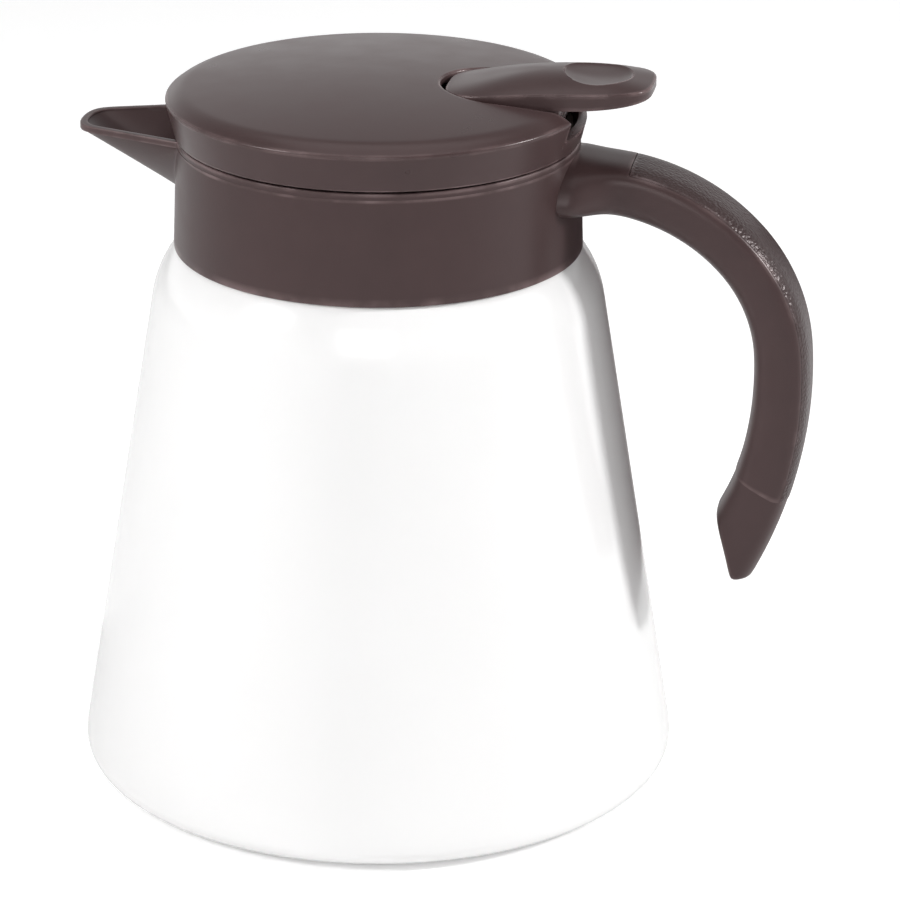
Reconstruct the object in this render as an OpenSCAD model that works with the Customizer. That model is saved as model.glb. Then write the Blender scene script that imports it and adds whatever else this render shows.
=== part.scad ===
// Vacuum carafe with a screw-in pouring lid and a press lever.
// Origin on the jug's axis at the level it stands on. The spout points to -X, the handle to +X, up is +Z.

/* [Jug] */
// Largest radius of the painted outer shell, just above its bottom edge
shell_r = 67.4; // [66:0.1:69]
// Radius where the straight cone ends and the shoulder starts
cone_top_r = 50.3; // [50:0.1:51]
// Height where the straight cone ends
cone_top_z = 110; // [109.5:0.1:110.5]
// Rounding of the shell's bottom edge
bottom_round = 4; // [3:0.25:5]
// Sheet thickness of the outer shell
shell_wall = 0.7; // [0.6:0.05:0.9]
// Sheet thickness of the inner flask
flask_wall = 0.5; // [0.4:0.05:0.7]
// Gap between the shell and the flask that holds the vacuum
vacuum_gap = 3.5; // [3:0.1:4]
// How far the base pad stands proud of the shell
pad_proud = 0.8; // [0.6:0.1:1]

/* [Collar and spout] */
// Height of the collar's bottom edge
collar_z0 = 122.1; // [121.8:0.1:122.4]
// Height of the collar's top edge and of the spout's rim
collar_z1 = 147; // [146.8:0.1:147.2]
// Outer radius of the collar at its bottom edge
collar_r0 = 45.3; // [45.1:0.05:45.5]
// Outer radius of the collar at its top edge
collar_r1 = 44.4; // [44.3:0.05:44.6]
// Distance of the spout's tip from the axis
spout_reach = 67; // [64:0.5:69]
// Half the width of the spout's rim at its root
spout_half_w = 15.5; // [14:0.25:16]
// Height where the spout's keel meets the collar
spout_keel_z = 131.8; // [131:0.1:133]
// Wall thickness of the spout
spout_wall = 1.7; // [1.4:0.1:2]

/* [Lid] */
// Height of the bottom edge of the lid's wall
lid_z0 = 147.5; // [147.4:0.1:147.8]
// Height of the middle of the lid's domed top
lid_top_z = 160.3; // [160:0.1:161]
// Radius of the lid at its top rim
lid_r = 46.6; // [46.3:0.1:47]
// Wall thickness of the lid
lid_wall = 1.8; // [1.6:0.1:2]
// Distance from the axis to the front end of the lever's slot
slot_front = 14; // [13.6:0.1:14.4]
// Half the width of the lever's slot
slot_half_w = 13.2; // [13:0.1:13.4]
// Height of the bottom of the notch that the slot cuts in the lid's rim
notch_z = 151.5; // [151.3:0.1:151.8]
// Lead of the stopper's three-start thread
thread_lead = 15; // [14:0.5:16]

/* [Lever and valve] */
// Distance of the lever's front tip from the axis
lever_front = 15.5; // [15.3:0.1:15.9]
// Distance of the lever's thumb end from the axis
lever_back = 60.6; // [60:0.2:62]
// Half the width of the lever
lever_half_w = 12.4; // [12.2:0.1:12.6]
// Distance of the lever's pin from the axis
pin_x = 38.5; // [38.3:0.1:38.7]
// Height of the lever's pin
pin_z = 154.3; // [154.2:0.1:154.4]
// Radius of the lever's pin
pin_r = 1.5; // [1.4:0.05:1.6]
// Radius of the valve's stem
stem_r = 2.5; // [2.4:0.05:2.6]
// Running clearance of the pin and the stem in their holes
running_gap = 0.05; // [0.03:0.01:0.08]
// Wire diameter of the valve spring
wire_d = 1; // [0.8:0.1:1.1]
// Number of curls of the valve spring
curls = 8; // [7:1:9]

/* [Handle] */
// Half the width of the handle
handle_half_w = 9.6; // [9:0.1:10]
// Share of the handle's thickness that its outer cover takes
cover_share = 0.13; // [0.11:0.01:0.2]
// Length of handle along its middle line before the outer cover starts
cover_start = 11; // [10:0.5:13]

/* [Hidden] */
$fn = 96;

plastic_brown = [0.36, 0.30, 0.30];
stopper_olive = [0.30, 0.30, 0.27];
painted_white = [0.95, 0.94, 0.93];
steel = [0.78, 0.78, 0.78];
silicone = [0.72, 0.72, 0.70];

// Shell and flask
base_z = pad_proud;
cone_low_z = base_z + 6;
cone_low_r = shell_r - 0.2;
cone_slope = (cone_low_r - cone_top_r) / (cone_top_z - cone_low_z);
cone_angle = atan(cone_slope);
shoulder_r = 24;
shoulder_c = [cone_top_r - shoulder_r * cos(cone_angle), cone_top_z - shoulder_r * sin(cone_angle)];
shoulder_end = 39.7;
lip_z = 127.8;
neck_r = 40.6;
neck_low_z = 126;
flask_neck_r = 38.9;
flask_base_z = 7;
flask_round = 12;
flask_bend_z = 103.5;
flask_top_z = 112;
pan_r = 61;
pan_z = 2.3;

// Collar
collar_in_r = 41.6;
sleeve_in_r = 36;
sleeve_out_r = 38;
sleeve_z0 = 111.8;
sleeve_lip_r = 32.4;
sleeve_lip_z = 113.6;
seal_h = 1.5;
deck_z0 = lip_z + seal_h;
deck_z1 = deck_z0 + 2;
spout_root = 42;
rim_h = 1.4;
rim_lip = 0.4;
boss_x = 38.6;
boss_half_w = 9;
boss_top = 143.5;
screw_z = 139;
screw_y = 5;
screw_r = 1.4;
screw_head_r = 2.6;
screw_head_h = 1.8;
screw_end = 54;

// Stopper
gasket_h = 1.3;
barrel_z0 = sleeve_lip_z + gasket_h + 0.1;
barrel_r = 34.2;
barrel_wall = 2;
seat_h = 2;
seat_hole_r = 11;
stub_r = 31.5;
lid_low_r = 44.7;
flange_z0 = 148.8;
flange_h = 1.2;
flange_r = 42.7;
skirt_r = 41.1;
skirt_z0 = 143.6;
window_z0 = 132.5;
window_z1 = 143.4;
window_angle = 25;
guide_r = 5;
guide_z0 = 146;
stem_seal_h = 1.6;

// Valve
seat_top = barrel_z0 + seat_h;
valve_gasket_h = 1.5;
disc_z0 = seat_top + 0.05 + valve_gasket_h;
disc_h = 2;
disc_r = 13.5;
hub_r = 10;
head_z0 = 152.3;
head_h = 1;
head_r = 5;
fork_z0 = 150.4;
fork_z1 = 152.2;
spring_r = 6.5;

// Thread
thread_starts = 3;
ridge_h = 1.8;
ridge_span = 90;
ridge_steps = 8;
ridge_gap = 0.3;
male_r = 35.6;
female_r = 34.7;
male_z = 118.2;
female_lift = 1.2;

// Lever
lever_mid = (lever_front + lever_back) / 2;
lever_half_l = (lever_back - lever_front) / 2;
cheek = 1.7;
pin_l = 2 * (slot_half_w + cheek);
lug_r = 3.2;
lug_half_l = 12.8;
lever_low = 156.4;
lever_step = 1.3;
spout_taper = 0.35;
lever_wall = 1.6;
hollow_h = 2.2;
oval = 3.6;
fork_tip = -1;
fork_half_w = 6.4;

// An arc of points about (cx, cz), from angle a0 to a1 in n steps
function arc(cx, cz, r, a0, a1, n) = [
    for (i = [0:n]) let (a = a0 + (a1 - a0) * i / n) [cx + r * cos(a), cz + r * sin(a)]
];

// Radius of the shell's straight cone at height z
function cone_r(z) = cone_low_r - (z - cone_low_z) * cone_slope;

// Straight blend of a list of values over a place p from 0 to 1
function blend(values, p) =
    let (n = len(values) - 1, q = min(max(p, 0), 0.9999) * n, i = floor(q))
    values[i] + (values[i + 1] - values[i]) * (q - i);

// A closed skin over a list of rings that all have the same number of points
module skin(rings) {
    n = len(rings[0]);
    m = len(rings);
    polyhedron(
        points = [for (ring = rings) each ring],
        faces = concat(
            [for (j = [1:n - 2]) [0, j + 1, j]],
            [for (i = [0:m - 2]) for (j = [0:n - 1]) let (k = (j + 1) % n) each [
                [i * n + j, i * n + k, (i + 1) * n + k],
                [i * n + j, (i + 1) * n + k, (i + 1) * n + j]
            ]],
            [for (j = [1:n - 2]) [(m - 1) * n, (m - 1) * n + j, (m - 1) * n + j + 1]]
        )
    );
}

// Outline of the shell, filled in to the axis
module shell_outline() {
    polygon(concat(
        [[-10, base_z]],
        arc(shell_r - bottom_round, base_z + bottom_round, bottom_round, -90, 0, 8),
        [[cone_low_r, cone_low_z]],
        arc(shoulder_c[0], shoulder_c[1], shoulder_r, cone_angle, shoulder_end, 10),
        [[neck_r, neck_low_z], [neck_r, lip_z], [-10, lip_z]]
    ));
}

module outer_shell() {
    color(painted_white) rotate_extrude() intersection() {
        difference() {
            shell_outline();
            offset(delta = -shell_wall) shell_outline();
            translate([-20, neck_low_z - 30]) square([flask_neck_r + 20, 60]);
            translate([-20, base_z - 1]) square([pan_r + 20, 8]);
        }
        square([100, 200]);
    }
}

// Outline of the inner flask, filled in to the axis
module flask_outline() {
    inset = shell_wall + vacuum_gap;
    low = cone_r(flask_base_z + flask_round) - inset;
    bend_r = cone_r(flask_bend_z) - inset;
    polygon(concat(
        [[-10, flask_base_z]],
        arc(low - flask_round, flask_base_z + flask_round, flask_round, -90, 0, 6),
        [[bend_r, flask_bend_z]],
        [for (i = [1:5]) let (a = 90 * i / 5) [
            bend_r + (flask_neck_r - bend_r) * (1 - cos(a)),
            flask_bend_z + (flask_top_z - flask_bend_z) * sin(a)
        ]],
        [[flask_neck_r, lip_z], [-10, lip_z]]
    ));
}

module inner_flask() {
    color(steel) rotate_extrude() intersection() {
        difference() {
            flask_outline();
            offset(delta = -flask_wall) flask_outline();
            translate([-20, neck_low_z - 6]) square([flask_neck_r - flask_wall + 20, 20]);
        }
        square([100, 200]);
    }
}

module base_plate() {
    color(steel) rotate_extrude() polygon([
        [1.2, pan_z], [pan_r - shell_wall, pan_z], [pan_r - shell_wall, base_z], [pan_r, base_z],
        [pan_r, pan_z + shell_wall], [1.2, pan_z + shell_wall]
    ]);
}

module vacuum_seal() {
    color(steel) rotate_extrude() polygon([
        [0, pan_z - 0.8], [2.2, pan_z - 0.6], [3, pan_z], [1.2, pan_z],
        [1.2, pan_z + shell_wall], [0, pan_z + shell_wall]
    ]);
}

module getter() {
    color("dimgray") translate([25, 0, pan_z + shell_wall]) cylinder(r = 8, h = 2);
}

module base_pad() {
    color(plastic_brown) rotate_extrude() polygon([
        [0, 0], [58.6, 0], [59.6, 1], [59.6, pan_z], [6, pan_z], [6, 1.2], [0, 1.2]
    ]);
}

module collar_seal() {
    color(silicone) translate([0, 0, lip_z]) difference() {
        cylinder(r = neck_r, h = seal_h);
        translate([0, 0, -1]) cylinder(r = sleeve_out_r + 0.2, h = seal_h + 2);
    }
}

// Half width of the spout's rim at distance x from the axis, closed by a round tip
function spout_w(x) =
    let (p = (x - spout_root) / (spout_reach - spout_root))
    (spout_half_w - spout_taper * (x - spout_root)) * sqrt(max(0, 1 - pow(p, 22)));

// Height of the spout's keel at distance x from the axis
function keel_z(x) =
    spout_keel_z + (collar_z1 - rim_h - 0.3 - spout_keel_z) * (x - collar_r1) / (spout_reach - collar_r1);

// One ring of the spout: a keel between two nearly flat sides, closed by a level top
function spout_ring(x, half_w, top_z, low_z, rise) = concat(
    [for (i = [0:8]) let (t = i / 4 - 1) [-x, half_w * t, low_z + (top_z - low_z) * pow(abs(t), 1.4)]],
    [[-x, half_w, top_z + rise], [-x, -half_w, top_z + rise]]
);

// Distances from the axis of the spout's rings, closer together towards the tip
function spout_places(x0, x1) = [for (i = [0:8]) x0 + (x1 - x0) * sin(90 * i / 8)];

module spout_body() {
    skin([for (x = spout_places(spout_root - 1.5, spout_reach - 0.6))
        spout_ring(x, max(spout_w(x) - rim_lip, 0.8), collar_z1 - 0.2, min(keel_z(x), collar_z1 - 1), 0.1)
    ]);
}

module spout_rim() {
    xs = spout_places(spout_root - 1.5, spout_reach - 0.02);
    translate([0, 0, collar_z1 - rim_h]) linear_extrude(height = rim_h) polygon(concat(
        [for (x = xs) [-x, spout_w(x)]],
        [for (i = [len(xs) - 1:-1:0]) [-xs[i], -spout_w(xs[i])]]
    ));
}

// Height of the bottom of the pouring channel at distance x from the axis
function channel_z(x) = min(max(keel_z(x) + 1.3 * spout_wall, deck_z1 + 1.2), collar_z1 - 0.9);

module spout_channel() {
    skin([for (x = spout_places(sleeve_out_r, spout_reach - spout_wall))
        spout_ring(x, max(spout_w(min(x + spout_wall, spout_reach)) - spout_wall, 0.5),
                   collar_z1 - 0.3, channel_z(x), 2)
    ]);
}

module collar_turned() {
    rotate_extrude() polygon([
        [collar_r0 - 0.8, collar_z0], [collar_r0 - 0.2, collar_z0], [collar_r0, collar_z0 + 0.2],
        [collar_r1, collar_z1 - 0.4], [collar_r1 - 0.4, collar_z1], [collar_in_r, collar_z1],
        [collar_in_r, deck_z1 + 1], [collar_in_r - 1, deck_z1], [sleeve_in_r, deck_z1],
        [sleeve_in_r, sleeve_lip_z], [sleeve_lip_r, sleeve_lip_z], [sleeve_lip_r, sleeve_z0],
        [sleeve_out_r, sleeve_z0], [sleeve_out_r, deck_z0], [neck_r + 1.8, deck_z0],
        [neck_r + 1.8, collar_z0 + 3.1], [collar_r0 - 1.7, collar_z0 + 1.5]
    ]);
}

// One helical ridge from a wide root to a narrower crest, climbing with the thread's lead
module ridge(root_r, crest_r, z0, a0) {
    wide = ridge_h / 2;
    flat = wide - 0.35;
    in_r = min(root_r, crest_r);
    out_r = max(root_r, crest_r);
    in_h = in_r == root_r ? wide : flat;
    out_h = in_r == root_r ? flat : wide;
    skin([for (i = [0:ridge_steps])
        let (
            a = a0 + ridge_span * i / ridge_steps,
            z = z0 + thread_lead * ridge_span / 360 * i / ridge_steps,
            u = [cos(a), sin(a)]
        ) [
            [in_r * u[0], in_r * u[1], z - in_h], [out_r * u[0], out_r * u[1], z - out_h],
            [out_r * u[0], out_r * u[1], z + out_h], [in_r * u[0], in_r * u[1], z + in_h]
        ]
    ]);
}

module screw_places() {
    for (side = [-1, 1]) translate([0, side * screw_y, screw_z]) rotate([0, 90, 0]) children();
}

module collar() {
    female_z = male_z + ridge_h + ridge_gap;
    color(plastic_brown) difference() {
        union() {
            collar_turned();
            spout_body();
            spout_rim();
            translate([boss_x, -boss_half_w, deck_z1 - 0.5])
                cube([collar_in_r + 1 - boss_x, 2 * boss_half_w, boss_top - deck_z1 + 0.5]);
            for (i = [0:thread_starts - 1])
                ridge(sleeve_in_r + 0.4, female_r, female_z + female_lift,
                      360 / thread_starts * i + 360 * female_lift / thread_lead);
        }
        spout_channel();
        screw_places() {
            cylinder(r = screw_r + 0.15, h = collar_r0 + 3);
            cylinder(r = screw_head_r + 0.2, h = boss_x + screw_head_h);
        }
    }
}

// Radius and turn of the three arcs of the handle's middle line, after a straight neck
handle_arcs = [[45.9, 43.6], [38.3, 37.7], [87.5, 32.6]];
handle_neck = 6.6;
handle_begin = [44, 140.9, -4.9];
handle_len = 116.5;
end_place = [79.5, 57.1];
end_tilt = 193.3;
end_z = 49.7;
cover_split = 0.5 - cover_share;
arc_points = 9;

// Place and heading on the middle line a length s beyond the place p, where arc k starts
function arc_along(p, s, k) =
    k == len(handle_arcs) ? [p[0] + s * cos(p[2]), p[1] + s * sin(p[2]), p[2]]
    : let (
        r = handle_arcs[k][0],
        l = r * handle_arcs[k][1] * PI / 180,
        h = p[2] - min(s, l) / r * 180 / PI,
        q = [p[0] + r * (sin(p[2]) - sin(h)), p[1] + r * (cos(h) - cos(p[2])), h]
    )
    s <= l ? q : arc_along(q, s - l, k + 1);

function straight_along(p, s) = [p[0] + s * cos(p[2]), p[1] + s * sin(p[2]), p[2]];

function along(s) =
    s <= handle_neck ? straight_along(handle_begin, s)
    : arc_along(straight_along(handle_begin, handle_neck), s - handle_neck, 0);

// Thickness of the handle after a length s, with the flare at its root
function handle_t(s) = blend([8.5, 10.5, 12.1, 12.9, 14.6], s / handle_len) + exp(-pow(s / 4.5, 2));

// Extra depth of the handle's lower side after a length s, which stiffens its root
function root_depth(s) = 2.8 * exp(-pow(s / 34, 2));

// Half width of the handle after a length s
function handle_w(s) = handle_half_w * (1 - 0.12 * pow(s / handle_len, 3));

// Extra half width of the handle's root, where it spreads over the collar
function root_spread(s) = 9 * exp(-pow(s / 6.5, 2));

// Radius of the collar's outer surface at height z
function collar_at(z) = collar_r1 + (collar_r0 - collar_r1) * (collar_z1 - z) / (collar_z1 - collar_z0);

// A point of the handle's root, moved along X to just clear of the collar
function on_collar(p) = [sqrt(pow(collar_at(p[2]) + 0.1, 2) - p[1] * p[1]), p[1], p[2]];

// A point of the handle's end, moved along the heading into the slanted end face
function on_end(p, head) =
    let (
        gap = (p[0] - end_place[0]) * cos(end_tilt) + (p[2] - end_place[1]) * sin(end_tilt),
        rate = cos(head) * cos(end_tilt) + sin(head) * sin(end_tilt)
    )
    [p[0] - cos(head) * gap / rate, p[1], p[2] - sin(head) * gap / rate];

// Angles round the section: over the top between the cover's edges, and back below them
split_angle = asin(pow(2 * cover_split, 1 / 0.62));
over = [for (i = [0:arc_points - 1]) split_angle + (180 - 2 * split_angle) * i / (arc_points - 1)];
under = [for (i = [1:2 * arc_points - 4])
    180 - split_angle + (180 + 2 * split_angle) * i / (2 * arc_points - 3)
];

// One ring of the handle after a length s: a rounded section, cut off above or below a share of it
function handle_ring(s, angles, low, high, inset = 0, part = 1) =
    let (at = along(s), t = handle_t(s) * part, w = handle_w(s) * part - inset)
    [for (a = angles)
        let (
            y = w * sign(cos(a)) * pow(abs(cos(a)), 0.62),
            h = min(max(0.5 * sign(sin(a)) * pow(abs(sin(a)), 0.62), low), high),
            side = y * (1 + root_spread(s) / handle_w(s) * (0.5 - h)),
            up = h * t + min(0, 2 * h) * root_depth(s) * part
        )
        [at[0] - sin(at[2]) * up, -side, at[1] + cos(at[2]) * up]
    ];

// Lengths along the handle where the cover has its rings, and where the handle's bare end begins
cover_end = 98;
cover_stations = [for (i = [0:24]) cover_start + 0.8 + (cover_end - cover_start - 0.8) * i / 24];
end_station = handle_len;
end_part = 0.97;

function end_ring(ring) = [for (p = ring) on_end(p, along(end_station)[2])];

module handle_grip() {
    all_round = concat(under, over);
    color(plastic_brown) difference() {
        skin(concat(
            [for (part = [0.05, 0.35, 0.7, 1])
                [for (p = handle_ring(0, all_round, -0.5, 0.5, part = part)) on_collar(p)]],
            [for (s = [2, 3.5, 5, 7, 9, cover_start]) handle_ring(s, all_round, -0.5, 0.5)],
            [handle_ring(cover_start + 0.4, all_round, -0.5, cover_split)],
            [for (s = cover_stations) handle_ring(s, all_round, -0.5, cover_split)],
            [handle_ring(cover_end + 0.4, all_round, -0.5, cover_split)],
            [for (s = [0.8, 4.5, 8]) handle_ring(cover_end + s, all_round, -0.5, 0.5, part = end_part)],
            [end_ring(handle_ring(end_station, all_round, -0.5, 0.5, part = end_part))]
        ));
        translate([end_place[0] - 20, -20, end_z - 20]) cube([40, 40, 20]);
    }
}

module handle_cover() {
    low = cover_split + 0.004;
    color(plastic_brown) skin([for (s = cover_stations) handle_ring(s, over, low, 0.5, 0.3)]);
}

module handle_screws() {
    color(steel) screw_places() {
        translate([0, 0, boss_x + 0.1]) cylinder(r = screw_head_r, h = screw_head_h - 0.1);
        translate([0, 0, boss_x + screw_head_h])
            cylinder(r = screw_r, h = screw_end - boss_x - screw_head_h);
    }
}

module stopper_gasket() {
    color(silicone) translate([0, 0, sleeve_lip_z + 0.1]) difference() {
        cylinder(r = female_r - 0.2, h = gasket_h);
        translate([0, 0, -1]) cylinder(r = stub_r + running_gap, h = gasket_h + 2);
    }
}

module stopper_body() {
    color(stopper_olive) difference() {
        union() {
            rotate_extrude() polygon([
                [seat_hole_r, barrel_z0 - 1.2], [stub_r, barrel_z0 - 1.2], [stub_r, barrel_z0],
                [barrel_r, barrel_z0], [barrel_r, flange_z0],
                [skirt_r - 2.2, flange_z0], [skirt_r - 2.2, skirt_z0], [skirt_r, skirt_z0],
                [skirt_r, flange_z0], [flange_r, flange_z0], [flange_r, flange_z0 + flange_h],
                [stem_r + running_gap, flange_z0 + flange_h], [stem_r + running_gap, guide_z0],
                [guide_r, guide_z0], [guide_r, flange_z0], [barrel_r - barrel_wall, flange_z0],
                [barrel_r - barrel_wall, seat_top], [seat_hole_r, seat_top]
            ]);
            for (i = [0:thread_starts - 1])
                ridge(barrel_r - 0.3, male_r, male_z, 360 / thread_starts * i);
        }
        rotate([0, 0, 180 - window_angle]) rotate_extrude(angle = 2 * window_angle)
            translate([barrel_r - barrel_wall - 1, window_z0])
                square([barrel_wall + 2, window_z1 - window_z0]);
    }
}

module splash_seal() {
    color(silicone) translate([0, 0, skirt_z0 + 0.6]) difference() {
        cylinder(r = collar_in_r - 0.1, h = 1.4);
        translate([0, 0, -1]) cylinder(r = skirt_r, h = 4);
    }
}

module stem_seal() {
    color(silicone) translate([0, 0, guide_z0 - stem_seal_h]) difference() {
        cylinder(r = guide_r, h = stem_seal_h);
        translate([0, 0, -1]) cylinder(r = stem_r + running_gap, h = stem_seal_h + 2);
    }
}

// Height of the lid's domed top at radius r
function dome_z(r) = lid_top_z - 2.4 * pow(r / 42, 2);

// Outline of the lid's outer surface, filled in to the axis
module lid_outline() {
    flat_r = 42;
    fall = 6.5;
    round_r = 7;
    polygon(concat(
        [[-10, lid_z0], [lid_low_r, lid_z0], [lid_r - 0.1, 155]],
        arc(lid_r - 0.9, 155.3, 0.9, 0, 40, 2),
        [for (i = [4:-1:1]) let (a = fall + 9 * i) [
            flat_r + round_r * (sin(a) - sin(fall)), dome_z(flat_r) - round_r * (cos(fall) - cos(a))
        ]],
        [for (i = [5:-1:0]) let (r = flat_r * i / 5) [r, dome_z(r)]],
        [[-10, lid_top_z]]
    ));
}

// Plan of the lever's slot, drawn out by a margin: a round front end, running out past the rim
module slot_plan(margin) {
    middle = slot_front + slot_half_w;
    translate([middle, 0]) circle(r = slot_half_w + margin);
    translate([middle, -slot_half_w - margin]) square([60, 2 * (slot_half_w + margin)]);
}

// Cheeks on both sides of the slot that hold the lever's pin
module slot_cheeks() {
    intersection() {
        translate([0, 0, flange_z0 + flange_h + 0.1]) linear_extrude(height = 20) difference() {
            slot_plan(cheek);
            slot_plan(0);
            translate([-1, -40]) square([26, 80]);
        }
        rotate_extrude() intersection() {
            offset(delta = -0.6) lid_outline();
            square([100, 200]);
        }
    }
}

module lid_cover() {
    color(plastic_brown) difference() {
        union() {
            rotate_extrude() intersection() {
                difference() {
                    lid_outline();
                    offset(delta = -lid_wall) lid_outline();
                    translate([-20, lid_z0 - 1]) square([flange_r + 20.1, 5]);
                }
                square([100, 200]);
            }
            rotate_extrude() polygon([
                [flange_r - 0.4, flange_z0 - 0.8], [flange_r + 1, flange_z0 - 0.8],
                [flange_r + 1, flange_z0 - 0.05], [flange_r - 0.4, flange_z0 - 0.3]
            ]);
            slot_cheeks();
        }
        translate([0, 0, notch_z]) linear_extrude(height = 20) slot_plan(0);
        pin_place() cylinder(r = pin_r, h = pin_l, center = true);
    }
}

module pin_place() {
    translate([pin_x, 0, pin_z]) rotate([90, 0, 0]) children();
}

module lever_pin() {
    color(steel) pin_place() cylinder(r = pin_r, h = pin_l, center = true);
}

// Top edge of the lever at place x
function lever_edge_z(x) =
    blend([159.5, 159.7, 160.5, 161.1, 161.45, 161.75, 161.9], (x - lever_front) / (2 * lever_half_l));

// Height of the lever's crown over its edge at place x
function lever_crown(x) = blend([2.2, 2.9, 3], (x - lever_front) / (2 * lever_half_l));

// Half width of the lever at place x: an oval with full ends
function lever_w(x) =
    lever_half_w * pow(max(0.02, 1 - pow(abs(x - lever_mid) / lever_half_l, oval)), 1 / oval);

crown_power = 2.2;

// Depth of the thumb dish at a place
function dish(x, y) = 1.7 * pow(max(0, 1 - pow((x - 48.4) / 7.4, 2) - pow(y / 8.6, 2)), 0.7);

// Height of the lever's underside: deep in the slot, a little higher behind it, rising to the thumb end
function lever_low_z(x) =
    lever_low + lever_step * min(1, max(0, (x - 32) / 6.5)) + 2 * pow(max(0, (x - pin_x - 0.5) / 21), 2);

// Section of the lever at place x: level below, crowned above with the thumb dish let in
function lever_ring(x) =
    let (w = lever_w(x), low = lever_low_z(x), edge = lever_edge_z(x))
    concat(
        [[x, w, low], [x, -w, low]],
        [for (i = [-6:6])
            let (
                t = sin(15 * i),
                y = w * t,
                q = pow(abs(x - lever_mid) / lever_half_l, oval) + pow(abs(y) / lever_half_w, oval)
            )
            [x, y, edge + lever_crown(x) * max(0, 1 - pow(q, crown_power / oval)) - dish(x, y)]]
    );

module lever_paddle() {
    skin([for (i = [0:20]) lever_ring(lever_mid - lever_half_l * cos(9 * i))]);
}

// Plan of the hollow under the lever's front, inside its walls
module hollow_plan() {
    stations = [for (i = [3:9]) lever_mid - lever_half_l * cos(9 * i)];
    last = pin_x - lug_r - lever_wall;
    inside = [for (x = stations) if (x < last) [x, lever_w(x) - lever_wall]];
    polygon(concat(
        inside,
        [[last, lever_half_w - lever_wall], [last, lever_wall - lever_half_w]],
        [for (i = [len(inside) - 1:-1:0]) [inside[i][0], -inside[i][1]]]
    ));
}

module thumb_lever() {
    slot_w = stem_r + 0.45;
    block_half_w = lever_half_w - 0.4;
    color(plastic_brown) difference() {
        union() {
            lever_paddle();
            pin_place() cylinder(r = lug_r, h = 2 * lug_half_l, center = true);
            translate([pin_x - lug_r, -block_half_w, pin_z])
                cube([2 * lug_r, 2 * block_half_w, lever_low + hollow_h - pin_z]);
            translate([fork_tip, -fork_half_w, fork_z0])
                cube([pin_x - fork_tip, 2 * fork_half_w, fork_z1 - fork_z0]);
        }
        pin_place() cylinder(r = pin_r + running_gap, h = 3 * lug_half_l, center = true);
        translate([0, 0, lever_low - 1])
            linear_extrude(height = hollow_h + 1) hollow_plan();
        translate([fork_tip - 5, -slot_w, fork_z0 - 1]) cube([5 - fork_tip, 2 * slot_w, 4]);
        translate([0, 0, fork_z0 - 1]) cylinder(r = slot_w, h = 4);
    }
}

module valve_stem() {
    color(steel) translate([0, 0, disc_z0]) {
        cylinder(r = stem_r, h = head_z0 - disc_z0);
        translate([0, 0, head_z0 - disc_z0]) cylinder(r = head_r, h = head_h);
    }
}

module valve_disc() {
    color(stopper_olive) difference() {
        union() {
            translate([0, 0, disc_z0]) cylinder(r = disc_r, h = disc_h);
            translate([0, 0, seat_top - 0.8]) cylinder(r = hub_r, h = disc_z0 - seat_top + 0.8);
        }
        translate([0, 0, disc_z0]) cylinder(r = stem_r, h = disc_h + 1);
    }
}

module valve_gasket() {
    color(silicone) translate([0, 0, disc_z0 - valve_gasket_h]) difference() {
        cylinder(r = disc_r + 0.3, h = valve_gasket_h);
        translate([0, 0, -1]) cylinder(r = hub_r, h = valve_gasket_h + 2);
    }
}

// Middle line of the spring's wire, and the least gap that it keeps to itself
spring_z0 = disc_z0 + disc_h + wire_d / 2 + 0.1;
spring_z1 = flange_z0 - wire_d / 2 - 0.1;
spring_steps = curls * 8;

function spring_at(i) =
    let (a = 360 * i / 8, z = spring_z0 + (spring_z1 - spring_z0) * i / spring_steps)
    [spring_r * cos(a), spring_r * sin(a), z];

spring_gap = min([for (i = [0:spring_steps - 8]) norm(spring_at(i + 8) - spring_at(i))]) - wire_d;
echo(spring_gap = spring_gap);

module valve_spring() {
    tilt = atan((spring_z1 - spring_z0) / (2 * PI * spring_r * curls));
    color(steel) skin([for (i = [0:spring_steps])
        let (p = spring_at(i), a = 360 * i / 8)
        [for (j = [0:5]) let (
            b = 60 * j, u = wire_d / 2 * cos(b), v = wire_d / 2 * sin(b)
        ) [
            p[0] + u * cos(a) + v * sin(tilt) * sin(a),
            p[1] + u * sin(a) - v * sin(tilt) * cos(a),
            p[2] + v * cos(tilt)
        ]]
    ]);
}

base_pad();
base_plate();
vacuum_seal();
getter();
outer_shell();
inner_flask();
collar();
collar_seal();
handle_grip();
handle_cover();
handle_screws();
stopper_gasket();
stopper_body();
splash_seal();
lid_cover();
lever_pin();
stem_seal();
valve_spring();
thumb_lever();
valve_stem();
valve_disc();
valve_gasket();
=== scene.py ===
"""Vacuum carafe with a screw-in pouring lid: the finish of every surface, and the studio round it."""

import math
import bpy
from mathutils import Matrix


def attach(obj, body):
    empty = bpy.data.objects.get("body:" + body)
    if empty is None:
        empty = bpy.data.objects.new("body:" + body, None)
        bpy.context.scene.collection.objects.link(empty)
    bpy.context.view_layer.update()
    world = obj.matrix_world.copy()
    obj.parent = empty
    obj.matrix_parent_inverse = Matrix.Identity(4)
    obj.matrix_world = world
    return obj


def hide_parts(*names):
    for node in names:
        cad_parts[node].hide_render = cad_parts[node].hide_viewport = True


bl_info = {
    "name": "Vacuum carafe",
    "version": (1, 0, 0),
    "blender": (4, 5, 0),
    "location": "View3D > Sidebar > Carafe",
    "description": "Builds the surfaces, finishes and studio of a vacuum carafe on its packed frame",
    "category": "Object",
}

import bmesh
import bpy
import numpy as np
from bpy.props import FloatProperty, FloatVectorProperty, IntProperty, PointerProperty
from mathutils import Vector

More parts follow.
